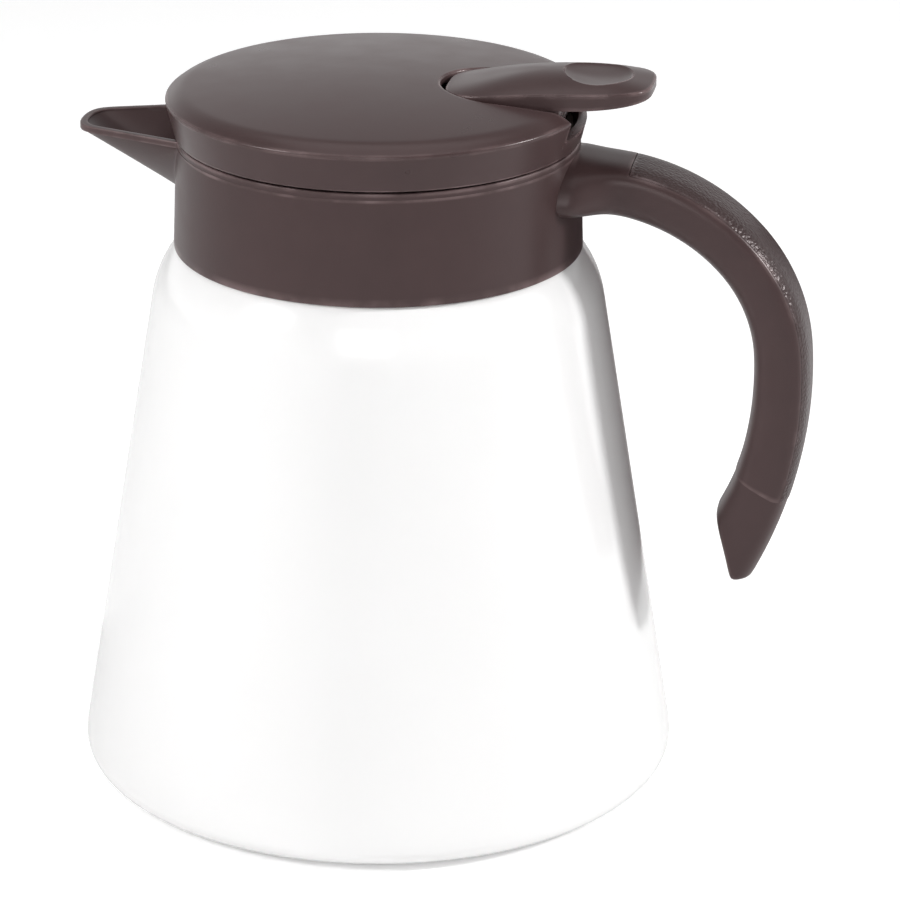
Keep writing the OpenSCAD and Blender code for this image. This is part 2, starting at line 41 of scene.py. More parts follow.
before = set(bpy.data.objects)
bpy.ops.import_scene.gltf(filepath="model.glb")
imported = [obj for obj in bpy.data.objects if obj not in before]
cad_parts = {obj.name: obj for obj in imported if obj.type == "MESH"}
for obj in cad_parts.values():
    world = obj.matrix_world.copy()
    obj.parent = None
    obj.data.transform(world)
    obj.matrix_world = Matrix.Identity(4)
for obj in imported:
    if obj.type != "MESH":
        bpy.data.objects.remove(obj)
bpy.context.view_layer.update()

MM = 0.001
PER_METRE = 1000.0


# Sizes and colours


def length(name, description, millimetres):
    return FloatProperty(
        name=name, description=description, default=millimetres * MM, unit="LENGTH", subtype="DISTANCE", precision=5
    )


def colour(name, description, rgb):
    return FloatVectorProperty(
        name=name, description=description, default=rgb, size=3, min=0, max=1, subtype="COLOR"
    )


class CarafeSizes(bpy.types.PropertyGroup):
    """Sizes of the carafe's pieces, in metres."""

    shell_r: length("Shell radius", "Largest radius of the painted shell, just above its bottom edge", 67.385)
    cone_top_r: length("Cone top radius", "Radius where the straight cone ends", 50.3)
    cone_top_z: length("Cone top height", "Height where the straight cone ends", 110)
    shoulder_r: length("Shoulder rounding", "Radius of the arc between the cone and the neck", 24)
    bottom_round: length("Bottom rounding", "Radius of the shell's bottom edge", 4)
    collar_z0: length("Collar bottom", "Height of the collar's bottom edge", 122.1)
    collar_z1: length("Collar top", "Height of the collar's top edge and the spout's rim", 147)
    collar_r0: length("Collar bottom radius", "Outer radius of the collar at its bottom edge", 45.3)
    collar_r1: length("Collar top radius", "Outer radius of the collar at its top edge", 44.4)
    spout_reach: length("Spout reach", "Distance of the spout's tip from the axis", 67)
    spout_half_w: length("Spout half width", "Half the width of the spout's rim at its root", 15.5)
    spout_keel_z: length("Spout keel", "Height where the spout's keel meets the collar", 131.8)
    spout_wall: length("Spout wall", "Wall thickness of the spout", 1.7)
    lid_z0: length("Lid bottom", "Height of the bottom edge of the lid's wall", 147.5)
    lid_top_z: length("Lid top", "Height of the middle of the lid's domed top", 160.3)
    lid_r: length("Lid radius", "Radius of the lid at its rim", 46.6)
    lid_wall: length("Lid wall", "Wall thickness of the lid", 1.8)
    slot_front: length("Slot front", "Distance from the axis to the front end of the lever's slot", 14)
    slot_half_w: length("Slot half width", "Half the width of the lever's slot", 13.2)
    notch_z: length("Notch bottom", "Height of the bottom of the notch in the lid's rim", 151.5)
    lever_front: length("Lever front", "Distance of the lever's front tip from the axis", 15.5)
    lever_back: length("Lever back", "Distance of the lever's thumb end from the axis", 60.6)
    lever_half_w: length("Lever half width", "Half the width of the lever", 12.4)
    handle_half_w: length("Handle half width", "Half the width of the handle", 9.6)
    cover_start: length("Cover start", "Length of handle before its outer cover starts", 11.8)
    cover_end: length("Cover end", "Length of handle where its outer cover ends", 98)


class CarafeColours(bpy.types.PropertyGroup):
    """Colours of the carafe's finishes."""

    paint: colour("Shell paint", "Gloss paint of the outer shell", (0.97, 0.965, 0.963))
    collar: colour("Collar plastic", "Moulded plastic of the collar and the handle", (0.053, 0.031, 0.031))
    lid: colour("Lid plastic", "Moulded plastic of the lid and the lever", (0.057, 0.034, 0.034))
    cover: colour("Handle cover", "Grained plastic on the outside of the handle", (0.044, 0.027, 0.027))
    stopper: colour("Stopper plastic", "Plastic of the stopper and the valve disc", (0.09, 0.085, 0.07))
    steel: colour("Steel", "Bare steel of the flask, the screws, the pin and the stem", (0.6, 0.6, 0.6))
    silicone: colour("Silicone", "Seals and gaskets", (0.5, 0.5, 0.48))
    pad: colour("Base pad", "Plastic pad under the base", (0.09, 0.07, 0.068))


def power(name, description, watts):
    return FloatProperty(name=name, description=description, default=watts, unit="POWER")


def angle(name, description, degrees):
    return FloatProperty(name=name, description=description, default=math.radians(degrees), subtype="ANGLE")


class CarafeStudio(bpy.types.PropertyGroup):
    """Camera and light."""

    distance: length("Camera distance", "From the camera to the point it looks at", 872.955)
    azimuth: angle("Camera azimuth", "Turn of the camera round the carafe", 11)
    elevation: angle("Camera elevation", "Angle of the camera above the horizon", 20.765)
    target_z: length("Target height", "Height of the point on the axis that the camera looks at", 85.8)
    left: power("Left softbox", "Power of the softbox at the left", 10.3)
    right: power("Right key", "Power of the small lamp at the right, past the handle", 12.6)
    front: power("Front softbox", "Power of the softbox over the camera", 5.4)
    top: power("Top softbox", "Power of the wide softbox overhead", 5.6)
    room: FloatProperty(name="Room light", description="Strength of the plain light from all round", default=0.25)


# Shapes


def smooth_step(x):
    """0 below 0, 1 above 1, and 3x^2 - 2x^3 between."""
    x = np.clip(x, 0, 1)
    return x * x * (3 - 2 * x)


def arc(cx, cz, r, a0, a1, n):
    """n + 1 points on a circle about (cx, cz), from angle a0 to a1 in degrees."""
    a = np.radians(np.linspace(a0, a1, n + 1))
    return np.stack([cx + r * np.cos(a), cz + r * np.sin(a)], 1)


def rounded(corners, radii, n=4):
    """A polyline whose corners are replaced by quadratic curves that start and end one radius away."""
    p = np.array(corners, float)
    out = [p[:1]]
    for before, here, after, r in zip(p[:-2], p[1:-1], p[2:], radii):
        u = (before - here) / np.linalg.norm(before - here)
        v = (after - here) / np.linalg.norm(after - here)
        t = np.linspace(0, 1, n + 1)[:, None]
        out.append((1 - t) ** 2 * (here + r * u) + 2 * t * (1 - t) * here + t ** 2 * (here + r * v))
    return np.concatenate(out + [p[-1:]])


def spaced(p, step):
    """The same open polyline with points added so that no piece of it is longer than step."""
    parts = [np.linspace(a, b, max(2, int(np.linalg.norm(b - a) / step) + 2))[:-1] for a, b in zip(p[:-1], p[1:])]
    return np.concatenate(parts + [p[-1:]])


def grid_faces(rows, cols, wrap_rows=False, wrap_cols=True):
    """Quads of a grid of rows by cols points, with either direction closed on itself."""
    i = np.arange(rows if wrap_rows else rows - 1)
    j = np.arange(cols if wrap_cols else cols - 1)
    i, j = np.meshgrid(i, j, indexing="ij")
    i1, j1 = (i + 1) % rows, (j + 1) % cols
    return np.stack([i * cols + j, i * cols + j1, i1 * cols + j1, i1 * cols + j], -1).reshape(-1, 4)


def loft(rings):
    """A skin over rings with equal numbers of points, and a flat cap at either end."""
    rings = np.array(rings)
    n, cols = rings.shape[:2]
    faces = list(grid_faces(n, cols)) + [list(range(cols))[::-1], list(range((n - 1) * cols, n * cols))]
    return rings.reshape(-1, 3), faces


def polar(r, a, z):
    """Points at radius r, angle a in radians and height z: x = r cos a, y = r sin a."""
    return np.stack(np.broadcast_arrays(r * np.cos(a), r * np.sin(a), z), -1)


def signed_power(v, exponent):
    """The power of a number's size, with the number's sign."""
    return np.sign(v) * np.abs(v) ** exponent


def turned(profile, cols=256, closed=True):
    """A profile of (radius, height) points turned about the upright axis: x = r cos a, y = r sin a, z = height."""
    points = polar(profile[:, :1], np.linspace(0, 2 * np.pi, cols, endpoint=False), profile[:, 1:])
    return points.reshape(-1, 3), grid_faces(len(profile), cols, wrap_rows=closed)


def edge_mask(mesh):
    """Marks outward edges: the change of the normal along each mesh edge over that edge's length, the largest
    value at each point, eased from 0 on surfaces rounder than 2.5 mm to 1 on edges of 0.8 mm and less."""
    n = len(mesh.vertices)
    place, normal = np.empty(3 * n), np.empty(3 * n)
    mesh.vertices.foreach_get("co", place)
    mesh.vertices.foreach_get("normal", normal)
    ends = np.empty(2 * len(mesh.edges), int)
    mesh.edges.foreach_get("vertices", ends)
    a, b = ends.reshape(-1, 2).T
    step = (place.reshape(-1, 3)[b] - place.reshape(-1, 3)[a]) / MM
    turn = normal.reshape(-1, 3)[b] - normal.reshape(-1, 3)[a]
    bend = (turn * step).sum(1) / np.maximum((step ** 2).sum(1), 0.01)
    value = np.zeros(n)
    np.maximum.at(value, a, bend)
    np.maximum.at(value, b, bend)
    mesh.attributes.new("edge", "FLOAT", "POINT").data.foreach_set("value", smooth_step((value - 0.4) / 0.85))


def put_mesh(name, parts, body, nodes=(), material=None, sharp=40, merge=True):
    """Makes one object of several (points in mm, faces) parts, with outward faces, riding on a body."""
    points, faces, shift = [], [], 0
    for p, f in parts:
        points.append(np.asarray(p, float) * MM)
        faces += [(np.asarray(q) + shift).tolist() for q in f]
        shift += len(p)
    mesh = bpy.data.meshes.new(name)
    mesh.from_pydata(np.concatenate(points), [], faces)
    bm = bmesh.new()
    bm.from_mesh(mesh)
    if merge:
        bmesh.ops.remove_doubles(bm, verts=bm.verts, dist=2e-6)
        bmesh.ops.dissolve_degenerate(bm, edges=bm.edges, dist=1e-7)
    bmesh.ops.recalc_face_normals(bm, faces=bm.faces)
    bm.to_mesh(mesh)
    bm.free()
    mesh.polygons.foreach_set("use_smooth", np.ones(len(mesh.polygons), bool))
    mesh.update()
    # the edge attribute drives the painted highlight along the plastics' edges
    edge_mask(mesh)
    mesh.set_sharp_from_angle(angle=math.radians(sharp))
    mesh.update()
    obj = bpy.data.objects.new(name, mesh)
    bpy.context.scene.collection.objects.link(obj)
    if material:
        mesh.materials.append(material)
    if nodes:
        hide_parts(*nodes)
    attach(obj, body)
    return obj


def in_mm(group):
    """The sizes of a property group as plain numbers in millimetres."""
    return {k: getattr(group, k) / MM for k in group.__annotations__}


# Shell


def shell_profile(s):
    """Outside of the shell: a quarter round at the bottom, a straight cone, a shoulder arc and a neck;
    the inside is the same line moved in by the sheet's thickness."""
    wall, base = 0.7, 0.8
    r, b = s["shell_r"], s["bottom_round"]
    low = np.array([r - 0.2, base + 6])
    top = np.array([s["cone_top_r"], s["cone_top_z"]])
    slope = math.degrees(math.atan2(low[0] - top[0], top[1] - low[1]))
    c = top - s["shoulder_r"] * np.array([math.cos(math.radians(slope)), math.sin(math.radians(slope))])
    outer = np.concatenate([
        [[61.0, base]],
        arc(r - b, base + b, b, -90, 0, 12),
        spaced(np.array([low, top]), 4.0)[:-1],
        arc(c[0], c[1], s["shoulder_r"], slope, 39.7, 16),
        rounded([[45.0, 121.6], [40.6, 126.0], [40.6, 127.8], [38.9, 127.8]], [1.0, 0.3])[1:],
    ])
    run = np.gradient(outer, axis=0)
    normal = np.stack([run[:, 1], -run[:, 0]], 1) / np.linalg.norm(run, axis=1)[:, None]
    inner = (outer - wall * normal)[2:-7][::-1]
    return np.concatenate([outer, [[38.9, 127.1], [39.9, 127.1], [39.9, 125.8]], inner, [[61.0, base + wall]]])


# Collar and spout


def spout_columns(n_spout=44, n_rest=120):
    """Columns round the collar: c is 0 at the spout's tip, 1 at its root and 2 at the handle; side is the sign of y."""
    half = np.concatenate([np.linspace(0, 1, n_spout + 1), 1 + np.linspace(0, 1, n_rest + 1)[1:]])
    c = np.concatenate([half, half[-2:0:-1]])
    side = np.concatenate([np.ones(len(half)), -np.ones(len(half) - 2)])
    return c, side


def spout_plan(c, side, s, inset, r):
    """Plan of the rim: sides that narrow evenly from the root and close in a round tip, sampled at equal
    lengths from tip to root, and then the circle of radius r as far as the handle."""
    reach, half_w = s["spout_reach"] - inset, s["spout_half_w"] - inset
    across = np.linspace(0.8 * r, r, 4001)
    root_x = np.interp(0, across ** 2 + (half_w - 0.35 * (across - 42)) ** 2 - r * r, across)
    x = root_x + (reach - root_x) * (1 - np.linspace(1, 0, 3000) ** 3)
    tip = np.clip((x - 42) / (reach - 42), 0, 1)
    y = (half_w - 0.35 * (x - 42)) * np.sqrt(np.clip(1 - tip ** 22, 0, 1))
    x, y = x[::-1], y[::-1]
    run = np.concatenate([[0], np.cumsum(np.hypot(np.diff(x), np.diff(y)))])
    at = np.clip(c, 0, 1) * run[-1]
    root = math.atan2(half_w - 0.35 * (root_x - 42), root_x)
    a = root + (np.clip(c, 1, 2) - 1) * (np.pi - root)
    px = np.where(c <= 1, np.interp(at, run, x), r * np.cos(a))
    py = np.where(c <= 1, np.interp(at, run, y), r * np.sin(a))
    return -px, side * py, root


def collar_shape(s):
    """Collar and spout as one sheet closed on itself. Each column is a closed profile: up the outer wall, out
    along a straight line to the spout's rim, over the rim, back along the channel and down the inner wall.
    Where there is no spout those lines lie in the wall."""
    c, side = spout_columns()
    z0, z1, r0, r1 = s["collar_z0"], s["collar_z1"], s["collar_r0"], s["collar_r1"]
    rim_h, lip, in_r = 1.4, 0.4, 41.6

    def level(z, r, root):
        a = np.where(c <= 1, c * root, root + (c - 1) * (np.pi - root))
        return np.stack([-r * np.cos(a), side * r * np.sin(a), z + 0 * a], -1)

    def outer_r(z):
        return r1 + (r0 - r1) * (z1 - z) / (z1 - z0)

    out_x, out_y, root = spout_plan(c, side, s, 0, r1)
    low_x, low_y, _ = spout_plan(c, side, s, lip, r1 + 0.05)
    in_x, in_y, in_root = spout_plan(c, side, s, s["spout_wall"], in_r)
    spread = smooth_step((1.12 - c) / 0.12)

    def plan(x, y, z):
        return np.stack([x, y, z + 0 * x], -1)

    # outer wall up to the line where the spout leaves it
    leave = s["spout_keel_z"] + (z1 - rim_h - 0.5 - s["spout_keel_z"]) * np.clip(c, 0, 1) ** 1.4
    leave = leave - 5 * smooth_step((c - 1) / 0.15)
    rows = [level(z, r, root) for r, z in rounded(
        [[r0 - 2.9, z0 + 3.1], [r0 - 1.7, z0 + 1.5], [r0 - 0.8, z0], [r0, z0], [outer_r(z0 + 2), z0 + 2]],
        [0.3, 0.2, 0.35])]
    for t in np.concatenate([np.linspace(0.1, 0.8, 8), [0.88, 0.93, 0.965, 0.985, 1]]):
        z = z0 + 2 + (leave - z0 - 2) * t
        rows.append(level(z, outer_r(z), root))
    start = rows[-1]
    rim_low = plan(low_x, low_y, z1 - rim_h)
    rim_low[..., :2] = np.where((c <= 1)[:, None], rim_low[..., :2], level(0, outer_r(z1 - rim_h), root)[..., :2])
    bend = len(rows) - 1
    for t in np.concatenate([[0.02, 0.05, 0.09, 0.15], np.linspace(0.22, 1, 12)]):
        rows.append(start + (rim_low - start) * t)
    # soft inside corner where the spout leaves the wall
    stack = np.array(rows)
    for _ in range(3):
        lo, hi = bend - 3, bend + 4
        stack[lo:hi] = 0.25 * stack[lo - 1:hi - 1] + 0.5 * stack[lo:hi] + 0.25 * stack[lo + 1:hi + 1]
    rows = list(stack)
    # rim: a small ledge, the outer face, the rounded top and the inner face
    out, inner = plan(out_x, out_y, 0), plan(in_x, in_y, 0)
    wide = spread[:, None]
    ledge = out * wide + rim_low * (1 - wide)
    across = inner - out
    unit = across / np.linalg.norm(across[..., :2], axis=-1)[..., None]

    def rim(inward, z):
        p = out + unit * inward
        p[..., 2] = z
        return p

    for inward, drop in [(0.12, rim_h), (0.0, rim_h - 0.12), (0.0, 0.9), (0.0, 0.45)]:
        p = rim(inward, z1 - drop)
        p[..., :2] = p[..., :2] * wide + rim(0.0, 0)[..., :2] * (1 - wide)
        rows.append(p)
    for a in (22, 45, 68, 90):
        rows.append(rim(0.3 - 0.3 * math.cos(math.radians(a)), z1 - 0.3 + 0.3 * math.sin(math.radians(a))))
    gap = np.linalg.norm(across[..., :2], axis=-1)[:, None]
    for share in (0.35, 0.65):
        rows.append(out + unit * (0.3 + (gap - 0.6) * share))
        rows[-1][..., 2] = z1
    for a in (90, 60, 30, 0):
        p = inner - unit * (0.3 - 0.3 * math.cos(math.radians(a)))
        p[..., 2] = z1 - 0.3 + 0.3 * math.sin(math.radians(a))
        rows.append(p)
    # channel from the rim down to the inner wall
    reach_in = 132.7 + (z1 - 1.6 - 132.7) * np.clip(c, 0, 1) ** 1.4 - 5 * smooth_step((c - 1) / 0.15)
    end = level(reach_in, in_r, in_root)
    begin = rows[-1].copy()
    begin[..., 2] = z1 - 0.5
    bend = len(rows) + 14
    for t in np.concatenate([np.linspace(0, 0.85, 11), [0.91, 0.95, 0.98, 1]]):
        rows.append(begin + (end - begin) * t)
    for z in (0.3, 0.8, 1.6):
        rows.append(level(np.maximum(reach_in - z, 132.3), in_r, in_root))
    for r, z in [(in_r, 132.3), (in_r - 1, 131.3), (38.5, 131.3), (36.0, 131.3)]:
        rows.append(level(z, r, in_root))
    # sleeve and underside
    for r, z in [(36.0, 125.0), (36.0, 113.6), (32.4, 113.6), (32.4, 111.8), (38.0, 111.8), (38.0, 120.0),
                 (38.0, 129.3), (r0 - 2.9, 129.3)]:
        rows.append(level(z, r, root))
    stack = np.array(rows)
    n, cols = stack.shape[:2]
    return stack.reshape(-1, 3), grid_faces(n, cols, wrap_rows=True)


def ridge_shape(root_r, crest_r, z0, a0, lead=15.0, span=90.0, height=1.8, n=48):
    """A helical ridge: a four-cornered section between two radii that climbs by lead over one turn."""
    t = np.linspace(0, 1, n + 1)
    a = np.radians(a0 + span * t)
    z = z0 + lead * span / 360 * t
    ease = np.minimum(1, np.minimum(t, 1 - t) * 10 + 0.15)
    crest = root_r + (crest_r - root_r) * ease
    wide, flat = height / 2, height / 2 - 0.35
    r = np.stack([root_r + 0 * t, crest, crest, root_r + 0 * t], 1)
    h = np.stack([z - wide, z - flat, z + flat, z + wide], 1)
    return loft(polar(r, a[:, None], h))


def block_shape(lo, hi, bevel=0.4):
    """A box whose upright edges and rims are cut back by bevel: rings of a rounded rectangle stacked in z."""
    lo, hi = np.array(lo, float), np.array(hi, float)
    mid, half = (lo + hi) / 2, (hi - lo) / 2
    a = np.radians(np.arange(0, 360, 15) + 7.5)
    corner = np.stack([np.sign(np.cos(a)), np.sign(np.sin(a))], 1)
    turn = np.stack([np.cos(a), np.sin(a)], 1)

    def ring(inset, z):
        flat = corner * (half[:2] - bevel) + turn * (bevel - inset)
        return np.column_stack([flat + mid[:2], np.full(len(a), z)])

    steps = [(bevel * 0.99, 0), (bevel * 0.3, bevel * 0.3), (0, bevel)]
    return loft([ring(inset, lo[2] + rise) for inset, rise in steps]
                + [ring(inset, hi[2] - rise) for inset, rise in steps[::-1]])


# Handle

HANDLE_BEGIN = (44.0, 140.9, -4.9)
HANDLE_BENDS = ((6.6, 0.0), (45.9, 43.6), (38.3, 37.7), (87.5, 32.6))
HANDLE_LENGTH = 116.5
COVER_SHARE = 0.13
ROUNDING = 0.62


def handle_line(s):
    """Place and heading on the handle's middle line after a length s: a straight neck and three arcs,
    added up in fine steps and read off between them."""
    fine = np.linspace(0, HANDLE_LENGTH + 24, 5001)
    straight = HANDLE_BENDS[0][0]
    curve = np.zeros_like(fine)
    start = straight
    for radius, turn in HANDLE_BENDS[1:]:
        stop = start + radius * math.radians(turn)
        curve[(fine >= start) & (fine < stop)] = 1 / radius
        start = stop
    step = fine[1]
    heading = math.radians(HANDLE_BEGIN[2]) - np.cumsum(curve) * step
    x = HANDLE_BEGIN[0] + np.concatenate([[0], np.cumsum(np.cos(heading))[:-1]]) * step
    z = HANDLE_BEGIN[1] + np.concatenate([[0], np.cumsum(np.sin(heading))[:-1]]) * step
    return np.interp(s, fine, x), np.interp(s, fine, z), np.interp(s, fine, heading)


def thickness(p):
    """Thickness of the handle at a share p of its length: a smooth curve through five values."""
    known = np.linspace(0, 1, 5)
    fit = np.polyfit(known, [8.5, 10.5, 12.1, 12.9, 14.6], 4)
    return np.polyval(fit, np.clip(p, 0, 1))


def handle_surface(s, angle, size, low=-0.5, high=0.5, inset=0.0, part=1.0):
    """Points of the handle: a rounded section of half height t/2 and half width w, |y/w|^3.2 + |2h/t|^3.2 = 1,
    carried along the middle line, deeper below and flaring sideways towards the collar, and cut at shares low
    and high of its height. The last part slides along the line with height, so that the end is slanted
    and its tip blunt."""
    p = s / HANDLE_LENGTH
    t = thickness(p) + np.exp(-(s / 4.5) ** 2)
    w = size["handle_half_w"] * (1 - 0.12 * np.clip(p, 0, 2) ** 3)
    flare = 9 * np.exp(-(s / 6.5) ** 2) / w
    y = (w - inset) * signed_power(np.cos(angle), ROUNDING)
    h = np.clip(0.5 * signed_power(np.sin(angle), ROUNDING), low, high)
    up = (h * t + np.minimum(0, 2 * h) * 2.8 * np.exp(-(s / 34) ** 2)) * part
    y = y * (1 + flare * (0.5 - h)) * part
    slant, blunt = 1.106 * up - 0.37, 5.1 - 0.55 * up
    shift = -np.logaddexp(-1.6 * slant, -1.6 * blunt) / 1.6
    x, z, head = handle_line(s + smooth_step((s - HANDLE_LENGTH + 26) / 26) * shift)
    return np.stack([x - np.sin(head) * up, -y, z + np.cos(head) * up], -1)


def on_collar(p, size):
    """The same points moved along X on to the collar's outer surface."""
    r = size["collar_r1"] + (size["collar_r0"] - size["collar_r1"]) * (size["collar_z1"] - p[..., 2]) / (
        size["collar_z1"] - size["collar_z0"])
    q = p.copy()
    q[..., 0] = np.sqrt((r + 0.02) ** 2 - p[..., 1] ** 2)
    return q


def split_angle(share):
    """Angle at which the handle's section reaches a share of its height."""
    return math.asin((2 * share) ** (1 / ROUNDING))


def even_angles(a0, a1, n):
    """n angles from a0 to a1 that lie at equal lengths along the section's outline."""
    fine = np.linspace(a0, a1, 4000)
    y = 9.6 * signed_power(np.cos(fine), ROUNDING)
    h = 6.0 * signed_power(np.sin(fine), ROUNDING)
    run = np.concatenate([[0], np.cumsum(np.hypot(np.diff(y), np.diff(h)))])
    return np.interp(np.linspace(0, run[-1], n), run, fine)


def grip_shape(size):
    """The handle's body: root on the collar, a round neck, then the lower part that carries the cover."""
    split = 0.5 - COVER_SHARE
    cut = split_angle(split)
    over = even_angles(cut, math.pi - cut, 33)
    under = even_angles(math.pi - cut, 2 * math.pi + cut, 65)[1:-1]
    ring = np.concatenate([under, over])
    start, stop = size["cover_start"], size["cover_end"]
    rows = [on_collar(handle_surface(0 * ring, ring, size, part=part), size) for part in (0.02, 0.3, 0.6, 0.85, 1.0)]

    def add(s, **cut_or_part):
        rows.append(handle_surface(s + 0 * ring, ring, size, **cut_or_part))

    for s in np.concatenate([[0.4, 0.9, 1.5, 2.2], np.linspace(3, start - 0.2, 14)]):
        add(s)
    for s, high in ((start - 0.06, 0.492), (start, 0.47), (start + 0.04, split)):
        add(s, high=high)
    for s in np.linspace(start + 0.5, stop - 0.5, 130):
        add(s, high=split)
    for s, high, part in ((stop - 0.04, split, 1.0), (stop, 0.46, 0.97), (stop + 0.1, 0.49, 0.97)):
        add(s, high=high, part=part)
    for s in np.linspace(stop + 0.8, HANDLE_LENGTH - 1.3, 26):
        add(s, part=0.97)
    for back, part in ((0.75, 0.965), (0.4, 0.945), (0.14, 0.905), (0.0, 0.84)):
        add(HANDLE_LENGTH - back, part=part)
    end = rows[-1]
    centre = end.mean(0)
    return loft(rows + [centre + (end - centre) * part for part in (0.7, 0.4, 0.05)])


def cover_shape(size):
    """The handle's outer cover: the part of the section above the split, with a fine seam round it. Its base
    sinks into the grip in the middle, as a tongue does, so that no light comes through the seam."""
    split = 0.5 - COVER_SHARE
    low = split + 0.006
    cut = split_angle(low)
    over = even_angles(cut, math.pi - cut, 49)
    start, stop = size["cover_start"] + 0.06, size["cover_end"] - 0.06

    def ring(s, part=1.0):
        top = handle_surface(s + 0 * over, over, size, low=low, inset=0.03, part=0.997 * part)
        base = handle_surface(s + 0 * over, over[::-1], size, low=low - 0.06, high=low - 0.06, inset=1.3)
        return np.concatenate([top, base[1:-1]])

    ends = [(0.0, 0.965), (0.06, 0.985), (0.16, 0.995), (0.3, 1.0)]
    rows = [ring(start + d, part) for d, part in ends]
    rows += [ring(s) for s in np.linspace(start + 0.9, stop - 0.9, 130)]
    rows += [ring(stop - d, part) for d, part in ends[::-1]]
    return loft(rows)


# Lid


def dome_z(r, s):
    """Height of the lid's top at radius r: a shallow parabola."""
    return s["lid_top_z"] - 2.4 * (r / 42) ** 2


def lid_rim(s):
    """Outer profile of the lid from radius 42 out over the rim and down to the notch's bottom."""
    z42 = dome_z(42, s)
    a = np.radians(6.5 + 36 * np.linspace(0, 1, 9))
    shoulder = np.stack([42 + 7 * (np.sin(a) - math.sin(math.radians(6.5))),
                         z42 - 7 * (math.cos(math.radians(6.5)) - np.cos(a))], 1)
    edge = arc(s["lid_r"] - 0.7, 155.3, 0.7, 47, -6, 9)
    low = np.array([44.7 + (s["lid_r"] - 0.15 - 44.7) * (s["notch_z"] - s["lid_z0"]) / 7.4, s["notch_z"]])
    wall = spaced(np.array([edge[-1], low]), 0.6)[1:]
    return np.concatenate([shoulder, edge, wall])


def lid_shape(s):
    """The lid above the notch's bottom: a turned skin whose circles stop at the slot's edge. Rows run from the
    slot's round front out to the rim and down the wall; every row is a closed loop of the top surface, a small
    rounding at the slot's edge, the slot's wall and the underside."""
    fillet, wall, cols = 0.55, s["lid_wall"], 241
    mid_x, half = s["slot_front"] + s["slot_half_w"], s["slot_half_w"] + fillet
    a = np.radians(np.linspace(180, 90, 40))
    front = np.stack([mid_x + half * np.cos(a), half * np.sin(a)], 1)
    straight_r = np.linspace(np.hypot(mid_x, half), 42, 16)[1:]
    straight = np.stack([np.sqrt(straight_r ** 2 - half ** 2), half + 0 * straight_r], 1)
    edge_xy = np.concatenate([front, straight])
    r = np.hypot(edge_xy[:, 0], edge_xy[:, 1])
    z = dome_z(r, s)
    rim = lid_rim(s)[1:]
    rim_x = np.sqrt(rim[:, 0] ** 2 - half ** 2)
    edge_xy = np.concatenate([edge_xy, np.stack([rim_x, half + 0 * rim_x], 1)])
    prof = np.concatenate([np.stack([r, z], 1), rim])
    # direction into the slot, in plan, and the surface's normal in the profile
    into = np.concatenate([np.stack([-np.cos(a), -np.sin(a)], 1),
                           np.repeat([[0.0, -1.0]], len(straight) + len(rim), 0)])
    run = np.gradient(prof, axis=0)
    slope = np.where(prof[:, 0] < 42.01, -2 * 2.4 * prof[:, 0] / 42 ** 2, 0)
    run = np.where((prof[:, 0] < 42.01)[:, None] & (np.arange(len(prof)) < len(r))[:, None],
                   np.stack([np.ones(len(prof)), slope], 1), run)
    nrm = np.stack([-run[:, 1], run[:, 0]], 1) / np.linalg.norm(run, axis=1)[:, None]
    theta0 = np.arctan2(edge_xy[:, 1], edge_xy[:, 0])
    t = np.linspace(0, 1, cols)
    theta = theta0[:, None] + t[None] * (2 * np.pi - 2 * theta0[:, None])
    top = polar(prof[:, :1], theta, prof[:, 1:])

    def side_columns(sign):
        ang = sign * theta0
        n3, base = polar(nrm[:, 0], ang, nrm[:, 1]), polar(prof[:, 0], ang, prof[:, 1])
        tan = np.stack([into[:, 0], sign * into[:, 1], 0 * ang], 1)
        tan = tan - n3 * (tan * n3).sum(1)[:, None]
        tan /= np.linalg.norm(tan, axis=1)[:, None]
        out = [base + fillet * (math.sin(b) * tan - (1 - math.cos(b)) * n3) for b in np.radians([22, 45, 68, 90])]
        out += [base + fillet * tan - depth * n3 for depth in (fillet + 0.6, wall)]
        return np.stack(out, 1)

    # underside: the profile moved in by the wall, kept from crossing itself inside the rim
    under = prof - wall * nrm
    inner_wall = prof[:, 0] - wall
    past = np.arange(len(prof)) > len(r) + 6
    under[:, 0] = np.where(past, np.minimum(under[:, 0], inner_wall), under[:, 0])
    under[:, 0] = np.minimum(under[:, 0], 44.75)
    below = polar(under[:, :1], theta, under[:, 1:])
    near, far = side_columns(1), side_columns(-1)
    loop = np.concatenate([top, far, below[:, ::-1], near[:, ::-1]], 1)
    n, k = loop.shape[:2]
    upper = loop.reshape(-1, 3), grid_faces(n, k)
    # the plain disc ahead of the slot
    r_in = np.linspace(0, 1, 8)[1:, None] * r[0]

    def disc(radii, drop):
        rings = polar(radii, theta[0], dome_z(radii, s) - drop).reshape(-1, 3)
        return np.concatenate([rings, [[0, 0, dome_z(0, s) - drop]]])

    tops, lows = disc(r_in, 0), disc(r_in * under[0, 0] / r[0], wall)
    fans = [[j, j + 1, len(r_in) * cols] for j in range(cols - 1)]
    quads = list(grid_faces(len(r_in), cols, wrap_cols=False)) + fans
    return upper, (tops, quads), (lows, quads), theta[-1], prof[-1], under[-1]


